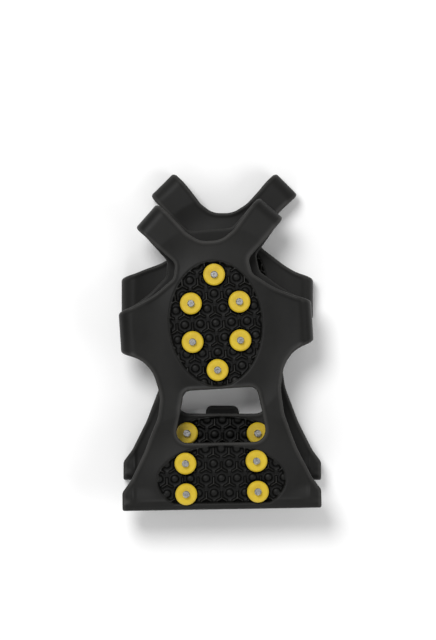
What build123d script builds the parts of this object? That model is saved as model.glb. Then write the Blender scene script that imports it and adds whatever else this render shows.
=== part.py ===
"""A pair of pull-on shoe ice cleats, packed flat: two rubber overshoes with ten studs each.

Each cleat lies with its sole upwards and its toe towards +Y. The rubber is one flattened
loop: the sole layer is on top, the toe straps and side straps fold round to the instep
panel beneath it, and the heel wall folds forward under the heel. The second cleat lies on
the first one's studs. The origin is the centre of the pair's footprint, on the surface
that the lower cleat rests on.
"""

import os

from build123d import *

# ---------------------------------------------------------------- driving dimensions, mm
# Rubber, in one cleat's own frame: its origin is under the middle of the forefoot pad.
loop_depth = 16.0  # underside of the instep panel to the surface of the sole
strap_wall = 2.4
strut_wall = 3.2
pad_wall = 4.4
fold_radius = loop_depth / 2  # outer radius of the bends in the straps
half_width = 58.2  # middle line to the outside of a side strap's bend
strap_reach = 74.1  # origin to the outside of a toe strap's bend, along the strap
heel_half_width = 60.0
heel_edge = 112.6  # origin to the outside of the heel wall
heel_bend = 3.0  # outer radius where the heel wall turns
heel_corner_length = 11.1  # closed corner at each end of the heel wall

# Where the straps join the pads: they meet on these planes
side_seam = 42.0
toe_seam = 56.0
arch_front = 45.0
arch_back = 65.0

# Outline of the right half in plan, from the toe gap round to the heel, with the radius
# that rounds each corner. The left half is its mirror image.
toe_gap = (0.0, 49.4)
half_plan = [
    ((6.0, 49.4), 14.0),  # rounded bottom of the toe gap
    ((14.0, 55.0), 12.0),
    ((30.2, 74.8), 2.5),  # toe strap, inner corner
    ((44.6, 60.4), 2.5),  # toe strap, outer corner
    ((22.0, 37.0), 5.0),  # neck of the toe strap
    ((23.8, 28.2), 5.0),
    ((36.0, 19.0), 40.0),
    ((half_width, 9.3), 0.0),  # side strap, front corner
    ((half_width, -12.5), 0.0),  # side strap, back corner
    ((46.0, -20.0), 20.0),
    ((39.5, -28.0), 20.0),
    ((36.2, -42.0), 25.0),  # waist beside the arch opening
    ((38.0, -56.0), 25.0),
    ((46.0, -77.0), 40.0),
    ((54.5, -94.0), 20.0),
    ((heel_half_width, heel_corner_length - heel_edge), 3.0),  # heel corner
]

# Arch opening: a trapezoid, wider towards the heel
arch_opening = [
    ((21.8, -40.0), 5.0),
    ((28.3, -72.2), 7.0),
    ((-28.3, -72.2), 7.0),
    ((-21.8, -40.0), 5.0),
]

# Tread pads
forefoot_oval = (27.5, 37.5)  # semi-axes
heel_oval = (38.0, 22.0)
heel_oval_y = -97.0

# Instep panel's rear edge is an arc about a point on the middle line
foot_opening_radius = 83.0
foot_opening_y = -95.0

# The upper cleat's panel hangs slack, so it reaches further into the toe gap and side gaps
toe_web = [(-16.0, 47.0), (-16.4, 56.5), (16.4, 56.5), (16.0, 47.0)]
side_web = [(20.0, 33.0), (26.8, 39.0), (28.4, 30.0), (33.0, 23.2)]

# Heel wall, folded forward under the heel, with its pull tab
heel_wall_top = ((60.0, -101.5), (22.0, -77.0))
tab_root = (10.8, -77.0)
tab_end = (9.3, -67.6)
tab_radius = 3.0

# Studs
forefoot_studs = [(0, 29), (-14.6, 12.1), (14.6, 12.1), (-14.4, -11.1), (14.4, -11.1), (0, -28.5)]
heel_studs = [(-21.4, -84.1), (21.4, -84.1), (-21.6, -102.6), (21.6, -102.6)]
disc_radius = 6.5
disc_height = 2.4
disc_bevel = 0.8
pin_radius = 2.1
pin_clearance = 0.05
pin_stand_out = 2.6  # tip above the disc
pin_tip_chamfer = 0.45
dimple_radius = 0.75
dimple_depth = 0.6
head_radius = 4.5
head_height = 1.0
washer_radius = 5.5
washer_height = 0.8

# How the pair lies
rest_gap = 0.3  # between the lower cleat's stud tips and the upper cleat
upper_shift = (-3.9, -17.1)
upper_turn = 2.1  # degrees, anticlockwise seen from above

# ---------------------------------------------------------------- worked-out values
sole_base = loop_depth - strap_wall
pad_base = loop_depth - pad_wall
strut_base = loop_depth - strut_wall
hole_radius = pin_radius + pin_clearance
washer_base = pad_base - washer_height
head_base = washer_base - head_height
disc_top = loop_depth + disc_height
tip_height = disc_top + pin_stand_out
heel_seam = heel_edge - heel_bend
heel_inside = heel_half_width - strap_wall
corner_middle = (heel_corner_length + strap_wall) / 2 - heel_edge
toe_seam_sum = toe_seam * 2**0.5  # x + y along the toe seam
studs = forefoot_studs + heel_studs

os.makedirs("parts", exist_ok=True)

# ---------------------------------------------------------------- plan of the rubber
with BuildSketch() as cleat_plan:
    with BuildLine():
        corners = [point for point, radius in half_plan]
        heel_corner = (heel_half_width, -heel_edge)
        FilletPolyline(
            toe_gap, *corners, heel_corner, radius=[radius for point, radius in half_plan]
        )
        Line(heel_corner, (0, -heel_edge))
        mirror(about=Plane.YZ)
    make_face()
    with BuildLine():
        FilletPolyline(
            *[point for point, radius in arch_opening],
            radius=[radius for point, radius in arch_opening],
            close=True,
        )
    make_face(mode=Mode.SUBTRACT)

# The part of the plan that lies between the side straps' and the toe straps' seams
with BuildSketch() as middle_region:
    with BuildLine():
        Polyline(
            (side_seam, -arch_front),
            (side_seam, toe_seam_sum - side_seam),
            (0, toe_seam_sum),
            (-side_seam, toe_seam_sum - side_seam),
            (-side_seam, -arch_front),
            close=True,
        )
    make_face()

# ---------------------------------------------------------------- sole layer
with BuildPart() as forefoot_pad:
    with BuildSketch(Plane.XY.offset(sole_base)):
        add(cleat_plan.sketch)
        add(middle_region.sketch, mode=Mode.INTERSECT)
    extrude(amount=strap_wall)
    with BuildSketch(Plane.XY.offset(pad_base)):
        Ellipse(*forefoot_oval)
    extrude(amount=pad_wall)
    with Locations(*[(x, y, loop_depth) for x, y in forefoot_studs]):
        Hole(hole_radius)

with BuildPart() as arch_struts:
    with BuildSketch(Plane.XY.offset(strut_base)):
        add(cleat_plan.sketch)
        with Locations((0, -(arch_front + arch_back) / 2)):
            Rectangle(2 * heel_half_width, arch_back - arch_front, mode=Mode.INTERSECT)
    extrude(amount=strut_wall)

with BuildPart() as heel_pad:
    with BuildSketch(Plane.XY.offset(sole_base)):
        add(cleat_plan.sketch)
        with Locations((0, -(arch_back + heel_seam) / 2)):
            Rectangle(2 * heel_half_width, heel_seam - arch_back, mode=Mode.INTERSECT)
    extrude(amount=strap_wall)
    with BuildSketch(Plane.XY.offset(pad_base)):
        with Locations((0, heel_oval_y)):
            Ellipse(*heel_oval)
        with Locations((0, -(arch_back + heel_seam) / 2)):
            Rectangle(2 * heel_half_width, heel_seam - arch_back, mode=Mode.INTERSECT)
    extrude(amount=pad_wall)
    with Locations(*[(x, y, loop_depth) for x, y in heel_studs]):
        Hole(hole_radius)

# ---------------------------------------------------------------- straps, folded round
with BuildPart() as side_strap_right:
    with BuildSketch(Plane.XZ):
        with Locations((0, fold_radius)):
            SlotOverall(2 * half_width, loop_depth)
            SlotOverall(2 * (half_width - strap_wall), loop_depth - 2 * strap_wall, mode=Mode.SUBTRACT)
        with Locations(((side_seam + half_width) / 2, fold_radius)):
            Rectangle(half_width - side_seam, loop_depth, mode=Mode.INTERSECT)
    extrude(amount=arch_front, both=True)
    with BuildSketch():
        add(cleat_plan.sketch)
    extrude(amount=loop_depth, mode=Mode.INTERSECT)

with BuildPart() as side_strap_left:
    mirror(side_strap_right.part, about=Plane.YZ)

toe_strap_plane = Plane(origin=(0, 0, fold_radius), x_dir=(1, 1, 0), z_dir=(1, -1, 0))
with BuildPart() as toe_strap_right:
    with BuildSketch(toe_strap_plane):
        SlotOverall(2 * strap_reach, loop_depth)
        SlotOverall(2 * (strap_reach - strap_wall), loop_depth - 2 * strap_wall, mode=Mode.SUBTRACT)
        with Locations(((toe_seam + strap_reach) / 2, 0)):
            Rectangle(strap_reach - toe_seam, loop_depth, mode=Mode.INTERSECT)
    extrude(amount=arch_front, both=True)
    with BuildSketch():
        add(cleat_plan.sketch)
    extrude(amount=loop_depth, mode=Mode.INTERSECT)

with BuildPart() as toe_strap_left:
    mirror(toe_strap_right.part, about=Plane.YZ)

# ---------------------------------------------------------------- layer beneath
with BuildPart() as instep_panel:
    with BuildSketch():
        add(cleat_plan.sketch)
        add(middle_region.sketch, mode=Mode.INTERSECT)
        with Locations((0, foot_opening_y)):
            Circle(foot_opening_radius, mode=Mode.SUBTRACT)
    extrude(amount=strap_wall)

with BuildPart() as slack_instep_panel:
    add(instep_panel.part)
    with BuildSketch():
        for web in (toe_web, side_web, [(-x, y) for x, y in side_web]):
            with BuildLine():
                Polyline(*web, close=True)
            make_face()
    extrude(amount=strap_wall)

with BuildPart() as heel_wall:
    # back of the heel: a rounded band that turns under the heel
    with BuildSketch(Plane.YZ):
        with Locations((0, fold_radius)):
            RectangleRounded(2 * heel_edge, loop_depth, heel_bend)
            RectangleRounded(
                2 * (heel_edge - strap_wall),
                loop_depth - 2 * strap_wall,
                heel_bend - strap_wall,
                mode=Mode.SUBTRACT,
            )
        with Locations((-(heel_edge + heel_seam) / 2, fold_radius)):
            Rectangle(heel_bend, loop_depth, mode=Mode.INTERSECT)
    extrude(amount=heel_half_width, both=True)
    # wall folded forward under the heel, and its pull tab
    with BuildSketch():
        with BuildLine():
            Polyline(
                (0, -heel_seam), (heel_half_width, -heel_seam), *heel_wall_top, (0, heel_wall_top[1][1])
            )
            mirror(about=Plane.YZ)
        make_face()
        with BuildLine():
            FilletPolyline(tab_root, tab_end, (0, tab_end[1]), radius=tab_radius)
            Line((0, tab_root[1]), tab_root)
            mirror(about=Plane.YZ)
        make_face()
    extrude(amount=strap_wall)
    # closed corners at both ends
    with Locations(
        (heel_inside + strap_wall / 2, corner_middle, fold_radius),
        (-heel_inside - strap_wall / 2, corner_middle, fold_radius),
    ):
        Box(strap_wall, heel_corner_length - strap_wall, loop_depth - 2 * strap_wall)

# ---------------------------------------------------------------- stud
with BuildPart() as stud_disc:
    with BuildSketch(Plane.XY.offset(loop_depth)):
        Circle(disc_radius)
        Circle(hole_radius, mode=Mode.SUBTRACT)
    extrude(amount=disc_height)
    chamfer(stud_disc.edges().group_by(Axis.Z)[-1].sort_by(SortBy.RADIUS)[-1], disc_bevel)

with BuildPart() as stud_pin:
    with BuildSketch(Plane.XY.offset(head_base)):
        Circle(head_radius)
    extrude(amount=head_height)
    with BuildSketch(Plane.XY.offset(washer_base)):
        Circle(pin_radius)
    extrude(amount=tip_height - washer_base)
    chamfer(stud_pin.edges().group_by(Axis.Z)[-1], pin_tip_chamfer)
    with Locations((0, 0, tip_height)):
        Hole(dimple_radius, depth=dimple_depth)

with BuildPart() as backing_washers:
    with BuildSketch(Plane.XY.offset(washer_base)):
        with Locations(*studs):
            Circle(washer_radius)
            Circle(hole_radius, mode=Mode.SUBTRACT)
    extrude(amount=washer_height)

# ---------------------------------------------------------------- two cleats, one on the other
mouldings = {
    "forefoot_pad": forefoot_pad.part,
    "arch_struts": arch_struts.part,
    "heel_pad": heel_pad.part,
    "side_strap_left": side_strap_left.part,
    "side_strap_right": side_strap_right.part,
    "toe_strap_left": toe_strap_left.part,
    "toe_strap_right": toe_strap_right.part,
    "heel_wall": heel_wall.part,
    "backing_washers": backing_washers.part,
}
panels = {"lower": instep_panel.part, "upper": slack_instep_panel.part}
cleats = {
    "lower": Location((0, 0, 0)),
    "upper": Location((*upper_shift, tip_height + rest_gap), (0, 0, upper_turn)),
}

pieces = {}
for cleat, place in cleats.items():
    for name, moulding in mouldings.items():
        pieces[f"{cleat}_{name}"] = moulding.moved(place)
    pieces[f"{cleat}_instep_panel"] = panels[cleat].moved(place)
    for number, (x, y) in enumerate(studs, 1):
        stud_place = place * Location((x, y, 0))
        pieces[f"{cleat}_stud_disc_{number:02d}"] = stud_disc.part.moved(stud_place)
        pieces[f"{cleat}_stud_pin_{number:02d}"] = stud_pin.part.moved(stud_place)

# The pair's footprint is centred on the origin
boxes = [piece.bounding_box() for piece in pieces.values()]
middle_x = (min(box.min.X for box in boxes) + max(box.max.X for box in boxes)) / 2
middle_y = (min(box.min.Y for box in boxes) + max(box.max.Y for box in boxes)) / 2
centred = Location((-middle_x, -middle_y, 0))
for name, piece in pieces.items():
    placed = piece.moved(centred)
    placed.label = name
    export_step(placed, f"parts/{name}.step")

print(f"lower cleat's origin: x {-middle_x:.3f}, y {-middle_y:.3f}")
print(f"upper cleat's origin: x {upper_shift[0] - middle_x:.3f}, y {upper_shift[1] - middle_y:.3f}, "
      f"z {tip_height + rest_gap:.3f}")
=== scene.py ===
"""Looks for a pair of pull-on shoe ice cleats, packed flat.

Each cleat's rubber is one moulded skin: the sole layer on top, straps that roll round to the
instep panel beneath, and a heel wall that folds under the heel. It is laid out flat as a plan
with rounded corners, cut from a square grid, and then rolled round its folds by formula.
"""

import math

import bmesh
import bpy
import numpy as np
from bpy.props import FloatProperty, FloatVectorProperty, PointerProperty
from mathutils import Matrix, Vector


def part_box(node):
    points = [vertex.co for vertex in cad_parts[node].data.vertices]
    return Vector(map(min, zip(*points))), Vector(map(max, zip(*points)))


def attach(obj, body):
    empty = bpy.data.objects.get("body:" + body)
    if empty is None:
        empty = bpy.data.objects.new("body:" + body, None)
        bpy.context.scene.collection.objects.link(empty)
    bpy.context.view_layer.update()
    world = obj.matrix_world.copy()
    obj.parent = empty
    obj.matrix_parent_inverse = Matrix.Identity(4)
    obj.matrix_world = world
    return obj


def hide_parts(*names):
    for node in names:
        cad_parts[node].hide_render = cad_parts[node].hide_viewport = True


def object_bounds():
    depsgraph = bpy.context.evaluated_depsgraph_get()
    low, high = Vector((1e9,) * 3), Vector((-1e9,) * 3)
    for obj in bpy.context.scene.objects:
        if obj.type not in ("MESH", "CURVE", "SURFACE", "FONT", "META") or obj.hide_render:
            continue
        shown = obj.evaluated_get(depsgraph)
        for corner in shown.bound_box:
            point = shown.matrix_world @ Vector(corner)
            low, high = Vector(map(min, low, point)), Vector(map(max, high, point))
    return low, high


bl_info = {
    "name": "Shoe Ice Cleats",
    "version": (1, 0, 0),
    "blender": (4, 5, 0),
    "location": "View3D > Sidebar > Ice Cleats",
    "description": "Moulded rubber, tread, studs and stage for a pair of flat-packed ice cleats",
    "category": "Object",
}

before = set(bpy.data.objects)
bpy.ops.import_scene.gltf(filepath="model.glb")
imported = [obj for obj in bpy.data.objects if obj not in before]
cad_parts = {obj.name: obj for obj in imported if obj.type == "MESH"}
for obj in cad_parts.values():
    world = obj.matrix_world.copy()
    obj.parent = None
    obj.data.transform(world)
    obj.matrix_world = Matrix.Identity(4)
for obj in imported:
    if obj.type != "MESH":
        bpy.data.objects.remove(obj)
CAD_LOW, CAD_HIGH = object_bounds()
MM = 0.001


def smooth_step(value, low, high):
    """0 below low, 1 above high, and a smooth cubic between."""
    t = np.clip((value - low) / (high - low), 0, 1)
    return t * t * (3 - 2 * t)


# ------------------------------ the frame's own sizes
def centre(node):
    """Middle of a CAD node's box at rest."""
    low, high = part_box(node)
    return np.array((low + high) / 2)


def box_depth(node):
    """Height of a CAD node's box at rest."""
    low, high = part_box(node)
    return high.z - low.z


STUDS = 10  # on each cleat
BALL_STUD_BACK = 28.5  # from a cleat's origin back to its sixth stud, mm
HEEL_MIDDLE_Y = -93.0  # middle of the heel pad, behind a cleat's origin
WAIST = (-72.0, -34.0)  # stretch of soft rubber between the two pads
TOE_PUSH_ALONG = (44.0, 64.0)  # a sideways push of the toe straps grows over this stretch
SIDE_PUSH_ALONG = (-40.0, -18.0)  # one of the side straps grows over this stretch
SIDE_PUSH_ACROSS = (32.0, 48.0)  # and this far from the middle line
LOOP_DEPTH = (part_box("lower_stud_disc_01")[0].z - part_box("lower_instep_panel")[0].z) / MM
STRAP_WALL = box_depth("lower_instep_panel") / MM
PAD_WALL = box_depth("lower_forefoot_pad") / MM
DISC_RADIUS = (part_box("lower_stud_disc_01")[1].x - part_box("lower_stud_disc_01")[0].x) / 2 / MM


def turned(points, degrees, middle):
    """Plan points turned anticlockwise about a point on the middle line."""
    cosine, sine = math.cos(math.radians(degrees)), math.sin(math.radians(degrees))
    x, y = points[:, 0], points[:, 1] - middle
    return np.column_stack((x * cosine - y * sine, x * sine + y * cosine + middle))


class Place:
    """Where one cleat lies: its plan's origin, its turn and the height of its underside. Soft
    rubber bends at the waist, so the forefoot and the heel each have a small turn of their own,
    and its side straps and toe straps can lie pushed to one side."""

    def __init__(self, cleat, turns=(0.0, 0.0), pushes=(0.0, 0.0)):
        self.forefoot_turn, self.heel_turn = turns
        self.side_push, self.toe_push = pushes
        front, back = centre(f"{cleat}_stud_disc_01"), centre(f"{cleat}_stud_disc_06")
        axis = front - back
        self.forward = axis[:2] / np.hypot(axis[0], axis[1])
        self.right = np.array((self.forward[1], -self.forward[0]))
        self.origin = back[:2] + self.forward * BALL_STUD_BACK * MM
        self.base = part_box(f"{cleat}_instep_panel")[0].z
        self.body = f"{cleat}_cleat"
        names = [f"{cleat}_stud_disc_{number:02d}" for number in range(1, STUDS + 1)]
        discs = np.array([centre(name)[:2] for name in names])
        offset = (discs - self.origin) / MM
        plan = np.column_stack((offset @ self.right, offset @ self.forward))
        ball = turned(plan, -self.forefoot_turn, 0)
        heel = turned(plan, -self.heel_turn, HEEL_MIDDLE_Y)
        self.studs = np.where(plan[:, 1:] > WAIST[0], ball, heel)

    def to_row(self, points):
        """Plan points in millimetres, heights from the cleat's underside, to row-frame metres. A
        point is the forefoot's turn and the heel's turn of it, blended smoothly over the waist."""
        toe = smooth_step(points[:, 1], *TOE_PUSH_ALONG)
        across = smooth_step(abs(points[:, 0]), *SIDE_PUSH_ACROSS)
        side = across * smooth_step(points[:, 1], *SIDE_PUSH_ALONG) * (1 - toe)
        push = self.side_push * side + self.toe_push * toe
        plan = points[:, :2] + push[:, None] * (1, 0)
        share = smooth_step(points[:, 1], *WAIST)[:, None]
        ball = turned(plan, self.forefoot_turn, 0)
        heel = turned(plan, self.heel_turn, HEEL_MIDDLE_Y)
        bent = share * ball + (1 - share) * heel
        flat = bent[:, :1] * self.right + bent[:, 1:2] * self.forward
        return np.column_stack((flat * MM + self.origin, points[:, 2] * MM + self.base))


PLACES = {
    "lower": Place("lower", pushes=(-3.0, 1.5)),
    "upper": Place("upper", turns=(1.6, -1.1)),
}


# ------------------------------ settings in the sidebar
class RubberSettings(bpy.types.PropertyGroup):
    """The rubber's lips, slackness and colours"""

    lip_height: FloatProperty(
        name="Lip height", description="How far a free edge's lip stands up",
        default=0.55 * MM, unit="LENGTH",
    )
    lip_width: FloatProperty(
        name="Lip width", description="Width of the lip along a free edge",
        default=2.6 * MM, unit="LENGTH",
    )
    sag: FloatProperty(
        name="Slackness", description="How far the thin rubber sags beside its pads",
        default=1.0 * MM, unit="LENGTH",
    )
    colour: FloatVectorProperty(
        name="Rubber", description="Colour of the black rubber", subtype="COLOR", size=3,
        default=(0.0062, 0.0062, 0.0058), min=0, max=1,
    )
    # The bloom colour is also the painted highlight on the tread's proud tops.
    bloom_and_highlight_colour: FloatVectorProperty(
        name="Bloom", description="Paler bloom on the rubber's surface", subtype="COLOR", size=3,
        default=(0.0150, 0.0148, 0.0140), min=0, max=1,
    )
    # Painted highlight on the lips, the straps' bends and the tread's ribs.
    highlight_colour: FloatVectorProperty(
        name="Lips", description="Paler rubber on lips and bends, where it has been stretched",
        subtype="COLOR", size=3, default=(0.044, 0.043, 0.041), min=0, max=1,
    )


class TreadSettings(bpy.types.PropertyGroup):
    """The tread's pits, nubs and ribs"""

    grid: FloatProperty(
        name="Tread grid", description="Spacing of the tread's grid",
        default=0.38 * MM, unit="LENGTH",
    )
    pitch: FloatProperty(
        name="Pitch", description="Distance from pit to pit along a row",
        default=9.4 * MM, unit="LENGTH",
    )
    row: FloatProperty(
        name="Row spacing", description="Distance from row to row",
        default=8.85 * MM, unit="LENGTH",
    )
    pit_radius: FloatProperty(
        name="Pit radius", description="Radius of a pit's rounded corners",
        default=4.45 * MM, unit="LENGTH",
    )
    pit_depth: FloatProperty(
        name="Pit depth", description="Depth of a pit",
        default=2.4 * MM, unit="LENGTH",
    )
    land_width: FloatProperty(
        name="Land width", description="Width of the land between two pits",
        default=1.3 * MM, unit="LENGTH",
    )
    land_drop: FloatProperty(
        name="Land drop", description="How far the lands lie below the sole's surface",
        default=2.1 * MM, unit="LENGTH",
    )
    nub_radius: FloatProperty(
        name="Nub radius", description="Radius of the nub in a pit",
        default=2.35 * MM, unit="LENGTH",
    )
    rib_height: FloatProperty(
        name="Rib height", description="Height of the three-armed ribs above the lands",
        default=2.25 * MM, unit="LENGTH",
    )


class StudSettings(bpy.types.PropertyGroup):
    """The studs' colours"""

    collar_colour: FloatVectorProperty(
        name="Collar", description="Colour of the plastic collars", subtype="COLOR", size=3,
        default=(0.60, 0.432, 0.0125), min=0, max=1,
    )
    steel_colour: FloatVectorProperty(
        name="Steel", description="Colour of the steel pins", subtype="COLOR", size=3,
        default=(0.66, 0.66, 0.65), min=0, max=1,
    )


class StageSettings(bpy.types.PropertyGroup):
    """The camera, the floor and the main light"""

    distance: FloatProperty(
        name="Camera distance", description="Camera's height above the upper sole",
        default=3.0, unit="LENGTH",
    )
    view_width: FloatProperty(
        name="View width", description="Width of the view at the upper sole",
        default=0.2625, unit="LENGTH",
    )
    floor_colour: FloatVectorProperty(
        name="Floor", description="Colour of the pale floor", subtype="COLOR", size=3,
        default=(0.97, 0.97, 0.97), min=0, max=1,
    )
    key_power: FloatProperty(
        name="Key light", description="Power of the main soft light",
        default=12.0, unit="POWER",
    )


# ------------------------------ plan outlines, mm
# Corners of the right half with the radius that rounds each. Beyond the start of a fold the
# plan is laid out flat, so that it can be rolled round.
HALF_WIDTH = 58.2  # middle line to a side strap's outermost line
STRAP_REACH = 74.1  # a cleat's origin to a toe strap's outermost line, along the diagonal
STRAP_BACK = -30.0  # the side straps lie ahead of this line
HEEL_HALF_WIDTH = 60.0
HEEL_EDGE = 112.6
HEEL_BEND = 3.0
FOLD_RADIUS = LOOP_DEPTH / 2
FOLD_MIDDLE = FOLD_RADIUS - STRAP_WALL / 2  # radius of the wall's middle in a strap's bend
SIDE_FOLD = HALF_WIDTH - FOLD_RADIUS
TOE_FOLD = STRAP_REACH - FOLD_RADIUS
HEEL_FOLD = HEEL_EDGE - HEEL_BEND
HEEL_MIDDLE = HEEL_BEND - STRAP_WALL / 2
HEEL_TURN = HEEL_MIDDLE * math.pi / 2  # length of the wall's middle round one heel bend
HEEL_RISE = LOOP_DEPTH - 2 * HEEL_BEND
HEEL_UNDER = HEEL_FOLD + 2 * HEEL_TURN + HEEL_RISE  # plan length where the wall lies flat again

TOE_STRAP_EDGE = [
    (25.1, 68.4, 25.0),
    (29.7, 72.8, 8.0),  # narrows a little round its bend
    (39.6, 79.2, 0.0),
    (50.6, 68.2, 0.0),
    (43.6, 58.9, 8.0),
    (39.1, 54.4, 25.0),
]
SIDE_STRAP_EDGE = [(49.4, 12.9, 40.0), (66.0, 7.6, 0.0), (66.0, -12.8, 0.0), (49.4, -18.0, 25.0)]
SOLE_FRONT = [
    (6.0, 49.4, 14.0),  # rounded bottom of the toe gap
    (14.0, 55.0, 12.0),
    *TOE_STRAP_EDGE,
    (22.0, 37.0, 5.0),  # neck between toe strap and side strap
    (23.8, 28.2, 5.0),
    (36.0, 19.0, 40.0),
    *SIDE_STRAP_EDGE,
]
SLACK_FRONT = [
    (13.2, 56.5, 8.0),  # a slack panel fills a little more of the gaps
    *TOE_STRAP_EDGE,
    (26.9, 39.2, 4.5),
    (28.4, 29.4, 4.5),
    (39.0, 20.2, 30.0),
    *SIDE_STRAP_EDGE,
]
WAIST_EDGE = [
    (44.6, -21.4, 14.0),
    (39.5, -28.0, 20.0),
    (36.2, -42.0, 25.0),
    (38.0, -56.0, 25.0),
    (46.0, -77.0, 40.0),
    (54.5, -94.0, 20.0),
    (60.0, -101.5, 3.0),
]


def under_heel(y):
    """Plan position, laid out flat, of a point y of the wall that lies under the heel."""
    return -HEEL_UNDER - (y + HEEL_FOLD)


HEEL_WALL_EDGE = [
    (60.0, under_heel(-101.5), 4.0),
    (40.0, under_heel(-88.0), 40.0),
    (20.0, under_heel(-78.0), 12.0),
    (10.9, under_heel(-77.0), 2.5),
    (9.4, under_heel(-67.7), 3.4),
]
INSTEP_FRONTS = {"lower": SOLE_FRONT, "upper": SLACK_FRONT}
FOOT_OPENING_EDGE = [(43.5, -21.6, 8.0), (21.0, -14.4, 70.0)]
ARCH_OPENING_EDGE = [(21.8, -40.0, 5.0), (28.3, -72.2, 7.0)]
FOREFOOT_TREAD = (0.0, -0.6, 27.6, 37.4)  # centre and semi-axes of the tread's oval
HEEL_TREAD = (0.0, -95.0, 38.4, 20.6)
HEEL_TREAD_BACK = -109.3
HEEL_ROW = -93.6  # a row of heel nubs with one on the middle line
PAD_MARGIN = 0.9  # smooth border of a tread piece round its pits
SAG_WIDTH = 22.0  # how far beside a pad the slack rubber reaches
CORNER_FOLD = 53.2  # middle line to the ridge at the heel's corners
SAG_END = (98.0, 107.0)  # the sag fades out over this stretch before the heel's bend
FLAP_START = (89.0, 97.0)  # the heel's corners turn down from here
FLAP_END = (104.5, 109.0)  # and are level again from here
FLAP_DROP = 1.5
RIDGE_HEIGHT = 0.5
RIDGE_WIDTH = 0.9
CREASE = 107.3  # origin back to the crease before the heel's bend
CREASE_HEIGHT = 0.35
CREASE_WIDTH = 0.6
CREASE_START = (26.0, 34.0)  # from the middle line out
CREASE_END = (46.0, 52.0)
LIP_END = (97.0, 101.0)  # lips fade out over this stretch before the heel's bend
LIP_BEND_END = 0.45  # and are gone this far round a strap's bend
PANEL_EDGE = 1.4  # the painted highlight on the panel's edges counts from this far further in, so it is fainter there
CORNER_WALL = 58.7  # middle line to the middle of a heel corner's wall
CORNER_WALL_EDGE = [(-111.6, 1.2, 1.5), (-101.7, 1.2, 1.0), (-101.7, 13.2, 1.5), (-111.6, 13.2, 2.5)]
TAB_CURL = -76.2  # the upper cleat's pull tab is turned under from here
TAB_CURL_RADIUS = 2.4
TAB_LENGTH = 12.0  # more than the length that is turned under
SHEET_DROP = 3.0  # how far the sheet drops out of the way under a tread piece
SHEET_DROP_EDGE = (0.3, 1.6)  # inside the tread's outline, where it drops
CORNER_GRID = 0.7
CORNER_THINNING = 0.1
SEAM_GAP = 0.02 * MM  # points doubled along a seam lie nearer than this, m
RIM_GAP = 1e-7  # and points doubled along a rim nearer than this, m
RUBBER_NODES = (
    "forefoot_pad", "arch_struts", "heel_pad", "side_strap_left", "side_strap_right",
    "toe_strap_left", "toe_strap_right", "instep_panel", "heel_wall",
)

# ------------------------------ tread details, mm
TREAD_RIM = 0.12
TREAD_DEPTH = 3.2  # from the sole's surface down to a tread piece's underside
TREAD_PROUD = 0.02
TREAD_EDGE = (-0.4, 0.9)  # the pattern rises to the sole over this stretch of the oval's edge
SHARP_ANGLE = 50.0  # edges sharper than this, in degrees, stay crisp
PIT_WALL = (-0.1, 0.55)  # a pit's side slopes between these distances inside its mouth
PIT_TO_STUD = 0.75  # no pit has its nub nearer a stud than this share of a disc's radius
NUB_WALL = (-0.5, 0.35)  # a nub's side slopes between these distances past its radius
NUB_DOME = 1.5
RIB_ARM = 3.5  # from a rib's middle to the tip of an arm
RIB_WALL = (0.2, 0.8)  # a rib's side slopes between these distances from its middle
RIB_CLEAR = 4.0  # where there is no rib, this keeps its height below every other shape
SEAT_EDGE = 0.5  # the pattern starts over this width round a stud's disc
MOAT_MIDDLE = 0.3  # beyond a disc's edge
MOAT_WALL = (0.2, 0.6)
MOAT_DEPTH = 0.9
EDGE_DIP = 0.3
EDGE_DIP_WIDTH = 0.8

# ------------------------------ stage, m
LIGHTS = (  # name, place, width and share of the key light's power
    ("key", (-0.35, 0.55, 1.2), 0.6, 1.0),
    ("fill", (0.9, -0.3, 0.8), 0.7, 0.3),
    ("front", (-0.2, -0.9, 0.7), 0.6, 0.2),
)
LIGHT_TARGET = (0, 0, 0.02)
WORLD_STRENGTH = 0.37
FLOOR_REACH = 4.0
FLOOR_GAP = 0.0002  # between the floor and the underside, so that they don't flicker
SENSOR_WIDTH = 36.0
VIEW_OFFSET = (1.3 * MM, 1.6 * MM)  # from the upper cleat's origin to the view's middle


def rounded(corners, step=0.7):
    """Closed outline through corners (x, y, radius). Each corner becomes a tangent arc: it starts
    radius * tan(turn / 2) before the corner, and its points lie a radius from the arc's centre."""
    outline = []
    count = len(corners)
    for index, (x, y, radius) in enumerate(corners):
        corner = np.array((x, y))
        before = np.array(corners[index - 1][:2]) - corner
        after = np.array(corners[(index + 1) % count][:2]) - corner
        before, after = before / np.hypot(*before), after / np.hypot(*after)
        half = math.acos(max(-1.0, min(1.0, before @ after))) / 2
        if radius == 0 or math.cos(half) < 1e-3:
            outline.append(corner[None])
            continue
        bisector = (before + after) / np.hypot(*(before + after))
        middle = corner + bisector * radius / math.sin(half)
        start, end = corner + before * radius / math.tan(half), corner + after * radius / math.tan(half)
        first = math.atan2(*(start - middle)[::-1])
        turn = (math.atan2(*(end - middle)[::-1]) - first + math.pi) % (2 * math.pi) - math.pi
        angles = first + turn * np.linspace(0, 1, max(3, int(abs(turn) * radius / step) + 2))
        outline.append(middle + radius * np.column_stack((np.cos(angles), np.sin(angles))))
    return np.vstack(outline)


def mirrored(*halves):
    """Closed outline of a right half, from front to back, and its mirror image."""
    half = [corner for part in halves for corner in part]
    return rounded(half + [(-x, y, radius) for x, y, radius in reversed(half)])


def oval(shape, margin, back=-math.inf):
    """Outline of an ellipse (x, y, semi-axis, semi-axis), grown by a margin and cut off at back."""
    x, y, wide, long = shape
    angle = np.linspace(0, 2 * np.pi, 181)[:-1]
    along = y + (long + margin) * np.sin(angle)
    return np.column_stack((x + (wide + margin) * np.cos(angle), np.maximum(along, back)))


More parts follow.
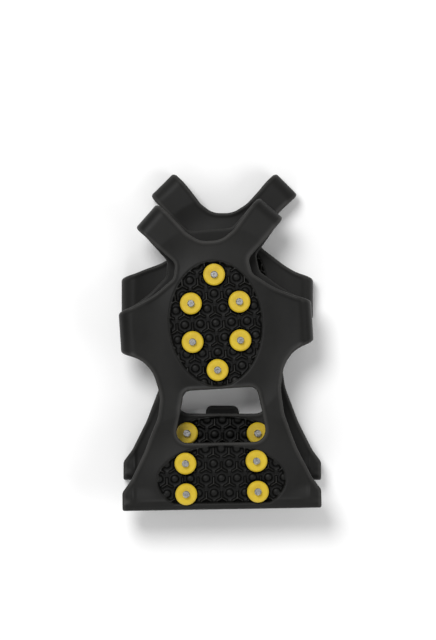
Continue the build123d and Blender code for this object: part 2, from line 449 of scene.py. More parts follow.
def edge_distance(points, loops):
    """Distance from each point to the nearest outline, positive inside and negative outside, and
    the unit direction inwards there. Inside means an odd number of outline crossings to the right."""
    starts = np.vstack(loops)
    ends = np.vstack([np.roll(loop, -1, axis=0) for loop in loops])
    runs = ends - starts
    lengths = np.maximum((runs**2).sum(1), 1e-12)
    distance = np.empty(len(points))
    inward = np.empty((len(points), 2))
    for chunk in np.array_split(np.arange(len(points)), max(1, len(points) // 4000)):
        p = points[chunk][:, None]
        along = np.clip(((p - starts) * runs).sum(2) / lengths, 0, 1)
        gap = p - starts - along[..., None] * runs
        squared = (gap**2).sum(2)
        near = squared.argmin(1)
        rows = np.arange(len(chunk))
        level = (starts[:, 1] > p[..., 1]) != (ends[:, 1] > p[..., 1])
        rise = np.where(runs[:, 1] == 0, 1e-12, runs[:, 1])
        crossing = starts[:, 0] + (p[..., 1] - starts[:, 1]) * runs[:, 0] / rise
        inside = (level & (crossing > p[..., 0])).sum(1) % 2 == 1
        size = np.sqrt(squared[rows, near])
        sign = np.where(inside, 1.0, -1.0)
        distance[chunk] = sign * size
        inward[chunk] = sign[:, None] * gap[rows, near] / np.maximum(size, 1e-9)[:, None]
    return distance, inward


class Cut:
    """A plan cut from a square grid.

    A grid square is kept where its middle lies inside the outline, set in by the rim's radius,
    and short of every seam. The nodes on its border then move to the outline or the seam, and
    the nodes next to them are evened out by averaging each with its neighbours."""

    def __init__(self, loops, spacing, rim, seams=(), smooth=3):
        low = np.min([loop.min(0) for loop in loops], axis=0)
        high = np.max([loop.max(0) for loop in loops], axis=0)
        first, last = np.floor(low / spacing) - 1, np.ceil(high / spacing) + 1
        xs = np.arange(first[0], last[0] + 1) * spacing
        ys = np.arange(first[1], last[1] + 1) * spacing
        wide = len(xs)
        nodes = np.stack(np.meshgrid(xs, ys), axis=2).reshape(-1, 2)
        corner = (np.arange(len(ys) - 1)[:, None] * wide + np.arange(wide - 1)).ravel()
        middles = nodes[corner] + spacing / 2
        keep = edge_distance(middles, loops)[0] > rim
        for direction, limit in seams:
            keep &= middles @ np.array(direction) < limit - 1e-6
        squares = np.column_stack((corner, corner + 1, corner + wide + 1, corner + wide))[keep]
        used, squares = np.unique(squares, return_inverse=True)
        squares = squares.reshape(-1, 4)
        nodes = nodes[used]
        sides = np.stack((squares, np.roll(squares, -1, axis=1)), axis=2).reshape(-1, 2)
        keys = np.sort(sides, axis=1) @ np.array((len(nodes), 1))
        unique, back, counts = np.unique(keys, return_inverse=True, return_counts=True)
        border = sides[counts[back.ravel()] == 1]
        on_border = np.zeros(len(nodes), bool)
        on_border[border] = True

        distance, inward = edge_distance(nodes, loops)
        on_seam = np.zeros(len(nodes), bool)
        for direction, limit in seams:
            short = limit - nodes @ np.array(direction)
            straight = max(abs(np.array(direction))) > 0.99
            near = on_border & (abs(short) < spacing * (0.3 if straight else 0.75))
            on_seam |= near
        free = on_border & ~(on_seam & (distance > rim + 0.75 * spacing))
        nodes[free] += ((rim - distance)[:, None] * inward)[free]
        for direction, limit in seams:
            direction = np.array(direction)
            short = limit - nodes @ direction
            near = on_seam & (abs(short) < 1.5 * spacing)
            nodes[near] += (short[:, None] * direction)[near]
        links = np.vstack((sides, sides[:, ::-1]))
        counts = np.bincount(links[:, 0], minlength=len(nodes)).astype(float)
        for _ in range(smooth):
            total = np.column_stack(
                [np.bincount(links[:, 0], nodes[links[:, 1], axis], len(nodes)) for axis in (0, 1)]
            )
            nodes = np.where(on_border[:, None], nodes, total / counts[:, None])
        self.nodes, self.squares = nodes, squares
        self.border = border[~(on_seam[border[:, 0]] & on_seam[border[:, 1]])]
        self.distance, self.inward = edge_distance(nodes, loops)
        for direction, limit in seams:  # a rim runs along its seam there, so that both sides meet
            direction = np.array(direction)
            near = abs(nodes @ direction - limit) < 1e-6
            self.inward[near] -= (self.inward[near] @ direction)[:, None] * direction
        self.rim = rim

    def skin(self, top, bottom, roll, steps=6):
        """Closed skin: the plan at height top, again at height bottom, and a half-round rim between
        them along every free edge. roll(plan, height) turns laid-out points to solid ones."""
        count = len(self.nodes)
        rim_nodes = np.unique(self.border)
        slot = np.full(count, -1)
        slot[rim_nodes] = np.arange(len(rim_nodes))
        angles = np.linspace(math.pi / 2, -math.pi / 2, steps + 2)[1:-1]
        middle = (top[rim_nodes] + bottom[rim_nodes]) / 2
        half = (top[rim_nodes] - bottom[rim_nodes]) / 2
        plans, heights = [self.nodes, self.nodes], [top, bottom]
        for angle in angles:
            plans.append(self.nodes[rim_nodes] - self.inward[rim_nodes] * self.rim * math.cos(angle))
            heights.append(middle + half * math.sin(angle))
        points = roll(np.vstack(plans), np.concatenate(heights))
        rings = [np.arange(count), *[2 * count + len(rim_nodes) * k + slot for k in range(steps)]]
        rings.append(np.arange(count) + count)
        faces = [self.squares, self.squares[:, ::-1] + count]
        a, b = self.border[:, 0], self.border[:, 1]
        for upper, lower in zip(rings, rings[1:]):
            faces.append(np.column_stack((upper[b], upper[a], lower[a], lower[b])))
        distances = np.concatenate([self.distance, self.distance, np.zeros(len(rim_nodes) * steps)])
        return points, np.vstack(faces), distances, np.vstack(plans)


# ------------------------------ folds
def roll_straps(plan, height, layer):
    """Rolls the straps round. Past a fold the laid-out length e becomes an angle e / r about the
    bend's axis, with r the radius of the wall's middle; layer is 1 on the sole and -1 beneath."""
    x, y = plan[:, 0].copy(), plan[:, 1].copy()
    lift = FOLD_MIDDLE + height
    side = np.sign(x)
    past_side = np.where(y > STRAP_BACK, abs(x) - SIDE_FOLD, -1.0)
    diagonal = (abs(x) + y) / math.sqrt(2)
    past_toe = diagonal - TOE_FOLD
    side_angle = np.clip(past_side, 0, None) / SIDE_SEAM_LENGTH * (math.pi / 2)
    toe_angle = np.clip(past_toe, 0, None) / TOE_SEAM_LENGTH * (math.pi / 2)
    x = np.where(past_side > 0, side * (SIDE_FOLD + lift * np.sin(side_angle)), x)
    shift = np.where(past_toe > 0, TOE_FOLD + lift * np.sin(toe_angle) - diagonal, 0) / math.sqrt(2)
    angle = np.maximum(side_angle, toe_angle)
    z = FOLD_RADIUS + layer * lift * np.cos(angle)
    return np.column_stack((x + side * shift, y + shift, z))


def roll_heel(points, plan, height):
    """Turns the heel wall down and forward again: two quarter turns with a flat rise between."""
    past = -HEEL_FOLD - plan[:, 1]
    radius = HEEL_MIDDLE + height
    first = np.clip(past / HEEL_TURN, 0, 1) * math.pi / 2
    second = np.clip((past - HEEL_TURN - HEEL_RISE) / HEEL_TURN, 0, 1) * math.pi / 2
    rise = np.clip(past - HEEL_TURN, 0, HEEL_RISE)
    forward = np.clip(past - 2 * HEEL_TURN - HEEL_RISE, 0, None)
    y = -HEEL_FOLD - radius * (np.sin(first) - (1 - np.cos(second))) + forward
    z = LOOP_DEPTH - HEEL_BEND + radius * np.cos(first) - rise - radius * np.sin(second)
    folded = np.column_stack((plan[:, 0], y, z))
    return np.where((past > 0)[:, None], folded, points)


def roll_sole(plan, height):
    """Folds the laid-out sole: its straps round their bends, then its heel wall."""
    return roll_heel(roll_straps(plan, height, 1), plan, height)


def roll_instep(plan, height):
    """Folds the laid-out instep panel's straps up to meet the sole's."""
    return roll_straps(plan, height, -1)


def lie_flat(plan, height):
    """Leaves a plan flat, with each point's height as its z."""
    return np.column_stack((plan, height))


def stand_up(plan, height):
    """Stands a laid-out corner wall on edge at the right-hand side of the heel."""
    return np.column_stack((CORNER_WALL + height, plan))


def curl_tab(points):
    """Turns the pull tab down and back under itself: its length e past the start of the curl
    becomes an angle e / r about a line across the tab."""
    past = points[:, 1] - TAB_CURL
    reach = TAB_CURL_RADIUS + points[:, 2] - STRAP_WALL / 2
    angle = past / TAB_CURL_RADIUS
    y = TAB_CURL + reach * np.sin(angle)
    z = STRAP_WALL / 2 - TAB_CURL_RADIUS + reach * np.cos(angle)
    on_tab = (past > 0) & (past < TAB_LENGTH) & (points[:, 2] < 2 * STRAP_WALL)
    return np.where(on_tab[:, None], np.column_stack((points[:, 0], y, z)), points)


def seam_lengths(spacing):
    """Distances to the seams where the sole's straps meet the instep's. The grid has to pass
    through them, so the laid-out half bends are rounded to a whole number of grid squares."""
    side = round((SIDE_FOLD + FOLD_MIDDLE * math.pi / 2) / spacing) * spacing
    toe_squares = round((TOE_FOLD + FOLD_MIDDLE * math.pi / 2) * math.sqrt(2) / spacing)
    return side, toe_squares * spacing / math.sqrt(2)


SKIN_GRID = 0.86
SIDE_SEAM, TOE_SEAM = seam_lengths(SKIN_GRID)
SIDE_SEAM_LENGTH, TOE_SEAM_LENGTH = SIDE_SEAM - SIDE_FOLD, TOE_SEAM - TOE_FOLD
DIAGONAL = 1 / math.sqrt(2)
SEAMS = [
    ((1, 0), SIDE_SEAM), ((-1, 0), SIDE_SEAM),
    ((DIAGONAL, DIAGONAL), TOE_SEAM), ((-DIAGONAL, DIAGONAL), TOE_SEAM),
]


def bend_share(plan):
    """How far round its bend a strap's rubber lies: 0 on the flat and 1 at the outermost line."""
    past_side = (abs(plan[:, 0]) - SIDE_FOLD) / SIDE_SEAM_LENGTH
    side = np.where(plan[:, 1] > STRAP_BACK, past_side, 0)
    toe = ((abs(plan[:, 0]) + plan[:, 1]) * DIAGONAL - TOE_FOLD) / TOE_SEAM_LENGTH
    return np.clip(np.maximum(side, toe), 0, 1)


def relief(plan, slackness):
    """Height of the sole's soft shapes: it sags in half a sine wave beside the pads but not on the
    heel's bend, turns down at the heel's corners behind a ridge, and has a short crease each side
    before the bend."""
    x, y = abs(plan[:, 0]), plan[:, 1]
    beside = np.clip(-pad_depth(plan) / SAG_WIDTH, 0, 1)
    sag = slackness * np.sin(math.pi * beside) * (1 - smooth_step(-y, *SAG_END))
    corner = smooth_step(-y, *FLAP_START) * (1 - smooth_step(-y, *FLAP_END))
    flap = FLAP_DROP * smooth_step(x, CORNER_FOLD + 0.5, HEEL_HALF_WIDTH) * corner
    ridge = RIDGE_HEIGHT * np.exp(-(((x - CORNER_FOLD) / RIDGE_WIDTH) ** 2)) * corner
    line = CREASE_HEIGHT * np.exp(-(((y + CREASE) / CREASE_WIDTH) ** 2))
    crease = line * smooth_step(x, *CREASE_START) * (1 - smooth_step(x, *CREASE_END))
    return ridge + crease - flap - sag


def lip(cut, height, width):
    """Height of the lip along a free edge: highest over the rim and gone a lip's width in. It
    fades out on the straps' bends, and before the heel's bend, where the edge runs into the
    closed corners."""
    across = np.clip((cut.distance - STRAP_WALL / 2) / (width - STRAP_WALL / 2), 0, 1)
    ahead = 1 - smooth_step(-cut.nodes[:, 1], *LIP_END)
    flat = ahead * (1 - smooth_step(bend_share(cut.nodes), 0, LIP_BEND_END))
    return height * flat * (0.5 + 0.5 * np.cos(math.pi * across))


def pad_depth(points):
    """How far inside a tread piece's outline each point lies; negative outside both."""
    front = edge_distance(points, [oval(FOREFOOT_TREAD, PAD_MARGIN)])[0]
    back = edge_distance(points, [oval(HEEL_TREAD, PAD_MARGIN, HEEL_TREAD_BACK)])[0]
    return np.maximum(front, back)


def new_object(name, points, faces, body, material, surface):
    """Rubber mesh from whole arrays, in the row frame, riding on a body. surface holds the values
    at its points that its material reads."""
    mesh = bpy.data.meshes.new(name)
    mesh.from_pydata(points.tolist(), [], faces.tolist())
    for attribute_name, values in surface.items():
        attribute = mesh.attributes.new(attribute_name, "FLOAT", "POINT")
        attribute.data.foreach_set("value", values.astype(np.float32))
    mesh.update()
    piece = bpy.data.objects.new(name, mesh)
    bpy.context.scene.collection.objects.link(piece)
    mesh.materials.append(material)
    mesh.polygons.foreach_set("use_smooth", np.ones(len(mesh.polygons), bool))
    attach(piece, body)
    return piece


def close_mesh(piece, gap):
    """Joins the seams' doubled points and turns every face outwards."""
    mesh = bmesh.new()
    mesh.from_mesh(piece.data)
    bmesh.ops.remove_doubles(mesh, verts=mesh.verts, dist=gap)
    bmesh.ops.recalc_face_normals(mesh, faces=mesh.faces)
    mesh.to_mesh(piece.data)
    mesh.free()
    piece.data.polygons.foreach_set("use_smooth", np.ones(len(piece.data.polygons), bool))
    piece.data.update()


# ------------------------------ shader maths
class Value:
    """A shader socket that adds Math nodes when it is used in a Python expression."""

    def __init__(self, shader, socket):
        self.shader, self.socket = shader, socket

    def _math(self, operation, first, second=None, clamp=False):
        settings = {"operation": operation, "use_clamp": clamp}
        values = {0: first} if second is None else {0: first, 1: second}
        return self.shader.node("ShaderNodeMath", settings, values)

    def __add__(self, other):
        return self._math("ADD", self, other)

    def __sub__(self, other):
        return self._math("SUBTRACT", self, other)

    def __rsub__(self, other):
        return self._math("SUBTRACT", other, self)

    def __mul__(self, other):
        return self._math("MULTIPLY", self, other)

    __radd__ = __add__
    __rmul__ = __mul__

    def clamped(self):
        return self._math("ADD", self, 0.0, clamp=True)


class Shader:
    """One material's node tree round a Principled shader."""

    def __init__(self, name, **fixed):
        self.material = bpy.data.materials.new(name)
        self.material.use_nodes = True
        self.tree = self.material.node_tree
        self.surface = self.tree.nodes["Principled BSDF"]
        for socket, value in fixed.items():
            self.surface.inputs[socket.replace("_", " ")].default_value = value

    def node(self, kind, settings=None, values=None, output=0):
        """Adds a node: its settings first, then the values or links of its sockets."""
        made = self.tree.nodes.new(kind)
        for key, value in (settings or {}).items():
            setattr(made, key, value)
        for socket, value in (values or {}).items():
            if isinstance(value, Value):
                self.tree.links.new(value.socket, made.inputs[socket])
            else:
                made.inputs[socket].default_value = value
        return Value(self, made.outputs[output])

    def feed(self, socket, value):
        self.tree.links.new(value.socket, self.surface.inputs[socket])

    def noise(self, scale, detail=3.0, roughness=0.55, stretch=(1, 1, 1)):
        """Noise on Object coordinates, stretched along the axes. scale is in lumps per metre."""
        place = self.node("ShaderNodeTexCoord", output="Object")
        if stretch != (1, 1, 1):
            place = self.node("ShaderNodeMapping", {}, {"Vector": place, "Scale": stretch})
        values = {"Vector": place, "Scale": scale, "Detail": detail, "Roughness": roughness}
        return self.node("ShaderNodeTexNoise", {}, values, output="Fac")

    def ramp(self, value, low, high):
        """Value spread linearly from low to high onto 0 to 1."""
        return self.node(
            "ShaderNodeMapRange", {"clamp": True},
            {"Value": value, "From Min": low, "From Max": high, "To Min": 0.0, "To Max": 1.0},
        )

    def attribute(self, name):
        """A value that new_object stored at the mesh's points."""
        return self.node("ShaderNodeAttribute", {"attribute_name": name}, output="Fac")

    def mix(self, factor, first, second):
        """Blend of two colours; 6 and 7 are the Mix node's two colour sockets."""
        values = {"Factor": factor, 6: first, 7: second}
        return self.node("ShaderNodeMix", {"data_type": "RGBA"}, values, output=2)

    def bump(self, height, distance, strength=1.0):
        values = {"Height": height, "Distance": distance, "Strength": strength}
        return self.node("ShaderNodeBump", {}, values, output="Normal")


def rgba(colour):
    """An opaque colour."""
    return (*colour, 1.0)


def rubber_material(settings):
    """Satin black rubber: fine moulded grain, cloudy bloom, and a painted highlight that pales its lips
    and bends.
    """
    shader = Shader("Moulded rubber", Specular_IOR_Level=0.16)
    cloud = shader.ramp(shader.noise(24, 5, 0.6), 0.36, 0.68)
    flow = shader.ramp(shader.noise(60, 4, 0.6, (1.0, 0.25, 1.0)), 0.35, 0.75)
    grain = shader.noise(2600, 2, 0.5)
    speck = shader.ramp(shader.noise(800, 3, 0.7), 0.62, 0.8)
    # painted highlight: the lips along the free edges and the outer parts of the straps' bends are
    # paled
    lip_highlight = 1 - shader.ramp(shader.attribute("edge"), 0.0008, 0.0026)
    round_bend = shader.ramp(shader.attribute("bend"), 0.0, 1.0)
    bent = round_bend * round_bend
    bloom = (cloud * 0.6 + flow * 0.3 + speck * 0.25).clamped()
    # how much painted highlight the lips and bends take
    pale = (lip_highlight * (cloud * 0.35 + 0.4) + bent * (flow * 0.4 + 0.1)).clamped()
    base = shader.mix(bloom, rgba(settings.colour), rgba(settings.bloom_and_highlight_colour))
    shader.feed("Base Color", shader.mix(pale, base, rgba(settings.highlight_colour)))
    shader.feed("Roughness", cloud * 0.18 + grain * 0.12 - pale * 0.06 + 0.37)
    shader.feed("Normal", shader.bump(grain * 0.6 + flow * 0.9, 0.00006, 0.8))
    return shader.material


def tread_material(settings):
    """The same rubber in the tread, matt, with painted shade in its pits and a painted highlight on
    what stands up.
    """
    shader = Shader("Tread rubber", Specular_IOR_Level=0.16)
    cloud = shader.ramp(shader.noise(40, 5, 0.6), 0.4, 0.7)
    grain = shader.noise(2600, 2, 0.5)
    level = shader.attribute("level")
    open_land = shader.ramp(level, -0.0022, -0.0006)
    proud = shader.ramp(level, -0.0005, 0.0002)
    # painted shade: towards a pit's floor the rubber darkens to 0.4 of its colour
    pit = tuple(channel * 0.4 for channel in settings.colour)
    base = shader.mix(open_land, rgba(pit), rgba(settings.colour))
    # painted highlight: what stands up is paled towards the bloom colour
    base = shader.mix(proud * (cloud * 0.5 + 0.4), base, rgba(settings.bloom_and_highlight_colour))
    # painted highlight on the ribs' tops
    rib = shader.ramp(level, 0.00002, 0.00015)
    shader.feed("Base Color", shader.mix(rib * 0.5, base, rgba(settings.highlight_colour)))
    shader.feed("Roughness", cloud * 0.1 + grain * 0.12 + 0.42)
    shader.feed("Normal", shader.bump(grain, 0.00006, 0.7))
    return shader.material


def collar_material(settings):
    """Yellow moulded plastic with a faint mottle and fine scuffs."""
    shader = Shader("Collar plastic", Coat_Roughness=0.25, Specular_IOR_Level=0.5)
    mottle = shader.ramp(shader.noise(180, 4, 0.6), 0.35, 0.7)
    scuff = shader.ramp(shader.noise(1300, 3, 0.7, (1.0, 0.3, 1.0)), 0.56, 0.74)
    grain = shader.noise(3200, 2, 0.5)
    deep = tuple(channel * share for channel, share in zip(settings.collar_colour, (0.90, 0.84, 0.8)))
    base = shader.mix(mottle, rgba(settings.collar_colour), rgba(deep))
    pale = tuple(min(1.0, channel * 1.15 + 0.02) for channel in settings.collar_colour)
    shader.feed("Base Color", shader.mix(scuff * 0.5, base, rgba(pale)))
    shader.feed("Roughness", scuff * 0.2 + grain * 0.1 + 0.28)
    shader.feed("Coat Weight", 0.35 - scuff * 0.2)
    shader.feed("Normal", shader.bump(grain * 0.5 + scuff * 0.5, 0.00004, 0.6))
    return shader.material


def steel_material(name, colour, roughness):
    """Turned and plated steel with fine scratches, and dark speckles painted in as reflections."""
    shader = Shader(name, Metallic=1.0)
    scratch = shader.noise(2400, 3, 0.6, (1.0, 0.12, 1.0))
    # painted reflection: dark speckles stand in for the dark parts of the metal's reflections
    reflection_speckle = shader.ramp(shader.noise(900, 4, 0.65), 0.44, 0.6)
    dark_reflection = tuple(channel * 0.22 for channel in colour)
    shader.feed("Base Color", shader.mix(reflection_speckle * 0.85, rgba(colour), rgba(dark_reflection)))
    shader.feed("Roughness", scratch * 0.18 + reflection_speckle * 0.14 + roughness)
    shader.feed("Normal", shader.bump(scratch, 0.00003, 0.6))
    return shader.material


def floor_material(settings):
    """Plain pale paper-like floor."""
    shader = Shader("Pale floor", Specular_IOR_Level=0.2, Roughness=0.85)
    grain = shader.ramp(shader.noise(30, 3, 0.5), 0.2, 0.8)
    pale = tuple(channel * 0.985 for channel in settings.floor_colour)
    shader.feed("Base Color", shader.mix(grain, rgba(settings.floor_colour), rgba(pale)))
    return shader.material


# ------------------------------ operators
class CLEATS_OT_rubber(bpy.types.Operator):
    """Build each cleat's moulded rubber skin"""

    bl_idname = "cleats.rubber"
    bl_label = "Moulded rubber"

    def execute(self, context):
        settings = context.scene.cleats_rubber
        material = rubber_material(settings)
        wall = STRAP_WALL
        lip_height, lip_width = settings.lip_height / MM, settings.lip_width / MM
        outlines = [mirrored(SOLE_FRONT, WAIST_EDGE, HEEL_WALL_EDGE), mirrored(ARCH_OPENING_EDGE)]
        sole = Cut(outlines, SKIN_GRID, wall / 2, SEAMS)

        # under a tread piece the sheet drops out of the pits' way and down to the pad's inner face
        inside = smooth_step(pad_depth(sole.nodes), *SHEET_DROP_EDGE)
        shape = relief(sole.nodes, settings.sag / MM)
        top = wall / 2 + lip(sole, lip_height, lip_width) + shape - SHEET_DROP * inside
        bottom = shape - wall / 2 - (PAD_WALL - wall) * inside
        upper, upper_faces, upper_edge, upper_plan = sole.skin(top, bottom, roll_sole)
        for cleat, place in PLACES.items():
            outline = mirrored(INSTEP_FRONTS[cleat], FOOT_OPENING_EDGE)
            instep = Cut([outline], SKIN_GRID, wall / 2, SEAMS)
            beneath = wall / 2 + lip(instep, lip_height, lip_width)
            lower, lower_faces, lower_edge, lower_plan = instep.skin(
                beneath, np.full(len(instep.nodes), -wall / 2), roll_instep
            )
            points = np.vstack((upper, lower))
            points[:, 2] = np.maximum(points[:, 2], 0)
            if cleat == "upper":
                points = curl_tab(points)
            faces = np.vstack((upper_faces, lower_faces[:, ::-1] + len(upper)))
            surface = {
                "edge": np.concatenate((upper_edge, lower_edge + PANEL_EDGE)) * MM,
                "bend": bend_share(np.vstack((upper_plan, lower_plan))),
            }
            name = f"{cleat}_rubber_moulding"
            piece = new_object(name, place.to_row(points), faces, place.body, material, surface)
            close_mesh(piece, SEAM_GAP)
            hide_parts(*[f"{cleat}_{node}" for node in RUBBER_NODES])
            self.close_corners(cleat, place, material)
        return {"FINISHED"}

    def close_corners(self, cleat, place, material):
        """Thin walls that close the two ends of the heel's fold."""
        cut = Cut([rounded(CORNER_WALL_EDGE)], CORNER_GRID, STRAP_WALL / 2)
        half = np.full(len(cut.nodes), STRAP_WALL / 2 - CORNER_THINNING)
        right, faces, _, _ = cut.skin(half, -half, stand_up)
        points = np.vstack((right, right * (-1, 1, 1)))
        faces = np.vstack((faces, faces[:, ::-1] + len(right)))
        # painted highlight: the corner walls take the lips' highlight all over, as faintly as the
        # panel's edge
        surface = {"edge": np.full(len(points), PANEL_EDGE * MM), "bend": np.zeros(len(points))}
        piece = new_object(
            f"{cleat}_heel_corners", place.to_row(points), faces, place.body, material, surface
        )
        close_mesh(piece, RIM_GAP)


class CLEATS_OT_tread(bpy.types.Operator):
    """Build the pitted tread on each forefoot and heel pad"""

    bl_idname = "cleats.tread"
    bl_label = "Tread"

    def height(self, points, depth_in, settings, studs, first_row):
        """Height of the tread against the sole. Domed nubs stand in pits on a staggered lattice.
        A pit reaches to half a land's width from the line midway to the next nub, with its corners
        cut round, and proud three-armed ribs stand on the low lands below each nub. The tread
        rises to the sole at its oval's edge. A stud has a flat seat with a narrow moat round it.
        The piece's own edge, depth_in away, dips under the sheet that it meets."""
        pitch, row = settings.pitch / MM, settings.row / MM
        x, y = points[:, 0], points[:, 1] - first_row
        line = np.round(y / row)

        def beside(line, step, stagger):
            """Nearest lattice point to each point along a row, or the one a step from it."""
            offset = np.where(line % 2 == stagger, pitch / 2, 0.0)
            return (np.round((x - offset) / pitch) + step) * pitch + offset

        steps = (-1, 0, 1)
        nubs = [(beside(line + up, step, 1), (line + up) * row) for up in steps for step in steps]
        gaps = np.array([np.hypot(x - nub_x, y - nub_y) for nub_x, nub_y in nubs])
        nearest = gaps.argmin(0)
        nub_x, nub_y = (np.choose(nearest, [nub[axis] for nub in nubs]) for axis in (0, 1))
        gap = gaps.min(0)
        to_land = np.full(len(points), np.inf)
        for (other_x, other_y), other_gap in zip(nubs, gaps):
            apart = np.hypot(other_x - nub_x, other_y - nub_y)
            midway = (other_gap**2 - gap**2) / (2 * np.maximum(apart, 1e-6))
            to_land = np.where(apart > 0.1, np.minimum(to_land, midway), to_land)

        def stud_distance(across, along):
            """Distance from each point of the plan to the nearest stud's middle."""
            return np.min([np.hypot(across - sx, along - sy) for sx, sy in studs], axis=0)

        nub_to_stud = stud_distance(nub_x, nub_y + first_row)
        to_stud = stud_distance(points[:, 0], points[:, 1])
        mouth = np.minimum(to_land - settings.land_width / MM / 2, settings.pit_radius / MM - gap)
        pit = smooth_step(mouth, *PIT_WALL) * (nub_to_stud > DISC_RADIUS * PIT_TO_STUD)
        nub_top, nub_foot = (settings.nub_radius / MM + past for past in NUB_WALL)
        nub = 1 - smooth_step(gap, nub_top, nub_foot)
        dome = np.sqrt(np.clip(1 - (gap / nub_foot) ** 2, 0, 1))
        depth, drop = settings.pit_depth / MM, settings.land_drop / MM
        level = -drop - (depth - drop) * pit * (1 - nub) + NUB_DOME * pit * nub * dome

        # a rib's middle is as far from the two nubs beside it as from the one below
        rib_drop = (row**2 - (pitch / 2) ** 2) / (2 * row)
        rib = np.zeros(len(points))
        for up in steps:
            dx, dy = x - beside(line + up, 0, 0), y - (line + up) * row + rib_drop
            for angle in (math.pi / 2, math.pi * 7 / 6, -math.pi / 6):
                along = np.clip(dx * math.cos(angle) + dy * math.sin(angle), 0, RIB_ARM)
                across = np.hypot(dx - along * math.cos(angle), dy - along * math.sin(angle))
                rib = np.maximum(rib, 1 - smooth_step(across, *RIB_WALL))
        level = np.maximum(level, -drop + rib * settings.rib_height / MM - RIB_CLEAR * (rib < 0.02))

        on_pad = smooth_step(depth_in - PAD_MARGIN, *TREAD_EDGE)
        rough = on_pad * smooth_step(to_stud, DISC_RADIUS, DISC_RADIUS + SEAT_EDGE)
        moat = 1 - smooth_step(abs(to_stud - DISC_RADIUS - MOAT_MIDDLE), *MOAT_WALL)
        dip = 1 - smooth_step(depth_in, 0, EDGE_DIP_WIDTH)
        return level * rough - MOAT_DEPTH * moat - EDGE_DIP * dip

    def execute(self, context):
        settings = context.scene.cleats_tread
        material = tread_material(context.scene.cleats_rubber)
        pads = (
            ("forefoot_tread", FOREFOOT_TREAD, -math.inf, 0.0),
            ("heel_tread", HEEL_TREAD, HEEL_TREAD_BACK, HEEL_ROW),
        )
        for name, shape, back, first_row in pads:
            cut = Cut([oval(shape, PAD_MARGIN, back)], settings.grid / MM, TREAD_RIM, smooth=2)
            bottom = np.full(len(cut.nodes), LOOP_DEPTH - TREAD_DEPTH)
            for cleat, place in PLACES.items():
                height = self.height(cut.nodes, cut.distance, settings, place.studs, first_row)
                top = LOOP_DEPTH + TREAD_PROUD + height
                points, faces, _, _ = cut.skin(top, bottom, lie_flat, steps=2)
                surface = {"level": (points[:, 2] - LOOP_DEPTH) * MM}
                piece = new_object(
                    f"{cleat}_{name}", place.to_row(points), faces, place.body, material, surface
                )
                close_mesh(piece, RIM_GAP)
                piece.data.set_sharp_from_angle(angle=math.radians(SHARP_ANGLE))
        return {"FINISHED"}


class CLEATS_OT_studs(bpy.types.Operator):
    """Finish the collars, pins and washers of the studs"""

    bl_idname = "cleats.studs"
    bl_label = "Studs"

    def execute(self, context):
        settings = context.scene.cleats_studs
        finishes = {
            "stud_disc": collar_material(settings),
            "stud_pin": steel_material("Stud steel", settings.steel_colour, 0.16),
            "backing_washers": steel_material("Washer steel", settings.steel_colour, 0.3),
        }
        for name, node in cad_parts.items():
            for kind, material in finishes.items():
                if kind in name:
                    node.data.materials.clear()
                    node.data.materials.append(material)
        return {"FINISHED"}


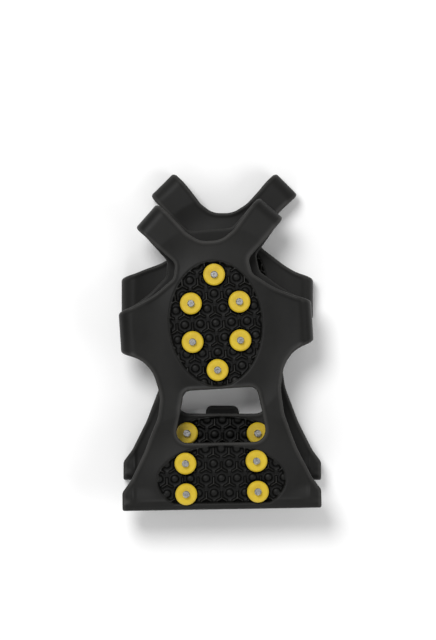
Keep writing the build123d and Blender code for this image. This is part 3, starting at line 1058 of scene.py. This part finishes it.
class CLEATS_OT_stage(bpy.types.Operator):
    """Lay the pale floor and set the soft lights and the camera"""

    bl_idname = "cleats.stage"
    bl_label = "Stage"

    def light(self, name, place, size, power):
        """Round soft lamp that faces the cleats."""
        data = bpy.data.lights.new(name, "AREA")
        data.shape, data.size, data.energy = "DISK", size, power
        lamp = bpy.data.objects.new(name, data)
        lamp.location = place
        direction = np.array(LIGHT_TARGET) - np.array(place)
        lamp.rotation_euler = Vector(direction).to_track_quat("-Z", "Y").to_euler()
        bpy.context.scene.collection.objects.link(lamp)

    def execute(self, context):
        settings = context.scene.cleats_stage
        scene = context.scene
        floor = bpy.data.meshes.new("floor")
        signs = ((-1, -1), (1, -1), (1, 1), (-1, 1))
        corners = [(x * FLOOR_REACH, y * FLOOR_REACH, 0) for x, y in signs]
        floor.from_pydata(corners, [], [(0, 1, 2, 3)])
        floor.materials.append(floor_material(settings))
        ground = bpy.data.objects.new("floor", floor)
        ground.location.z = CAD_LOW.z - FLOOR_GAP
        scene.collection.objects.link(ground)

        world = bpy.data.worlds.new("Studio")
        world.use_nodes = True
        background = world.node_tree.nodes["Background"]
        background.inputs["Color"].default_value = (1, 1, 1, 1)
        background.inputs["Strength"].default_value = WORLD_STRENGTH
        scene.world = world
        for name, place, size, share in LIGHTS:
            self.light(name, place, size, settings.key_power * share)

        sole = PLACES["upper"].base + LOOP_DEPTH * MM
        camera = bpy.data.cameras.new("camera")
        camera.sensor_fit, camera.sensor_width = "HORIZONTAL", SENSOR_WIDTH
        camera.lens = camera.sensor_width * settings.distance / settings.view_width
        eye = bpy.data.objects.new("camera", camera)
        x, y = PLACES["upper"].origin + VIEW_OFFSET
        eye.location = (x, y, sole + settings.distance)
        scene.collection.objects.link(eye)
        scene.camera = eye
        scene.view_settings.view_transform = "Standard"
        return {"FINISHED"}


class CLEATS_PT_panel(bpy.types.Panel):
    """Sidebar panel with one button for each group of pieces"""

    bl_idname = "CLEATS_PT_panel"
    bl_label = "Ice Cleats"
    bl_space_type = "VIEW_3D"
    bl_region_type = "UI"
    bl_category = "Ice Cleats"

    def draw(self, context):
        for operator in OPERATORS:
            self.layout.operator(operator.bl_idname)
        for group in SETTINGS:
            settings = getattr(context.scene, group)
            for name in settings.__annotations__:
                self.layout.prop(settings, name)


OPERATORS = (CLEATS_OT_rubber, CLEATS_OT_tread, CLEATS_OT_studs, CLEATS_OT_stage)
SETTINGS = {
    "cleats_rubber": RubberSettings,
    "cleats_tread": TreadSettings,
    "cleats_studs": StudSettings,
    "cleats_stage": StageSettings,
}
CLASSES = (*SETTINGS.values(), *OPERATORS, CLEATS_PT_panel)


def register():
    for cls in CLASSES:
        bpy.utils.register_class(cls)
    for name, group in SETTINGS.items():
        setattr(bpy.types.Scene, name, PointerProperty(type=group))


def unregister():
    for name in SETTINGS:
        delattr(bpy.types.Scene, name)
    for cls in reversed(CLASSES):
        bpy.utils.unregister_class(cls)


def main():
    """Makes every piece and the stage in order."""
    register()
    bpy.ops.cleats.rubber()
    bpy.ops.cleats.tread()
    bpy.ops.cleats.studs()
    bpy.ops.cleats.stage()


if __name__ == "__main__":
    main()
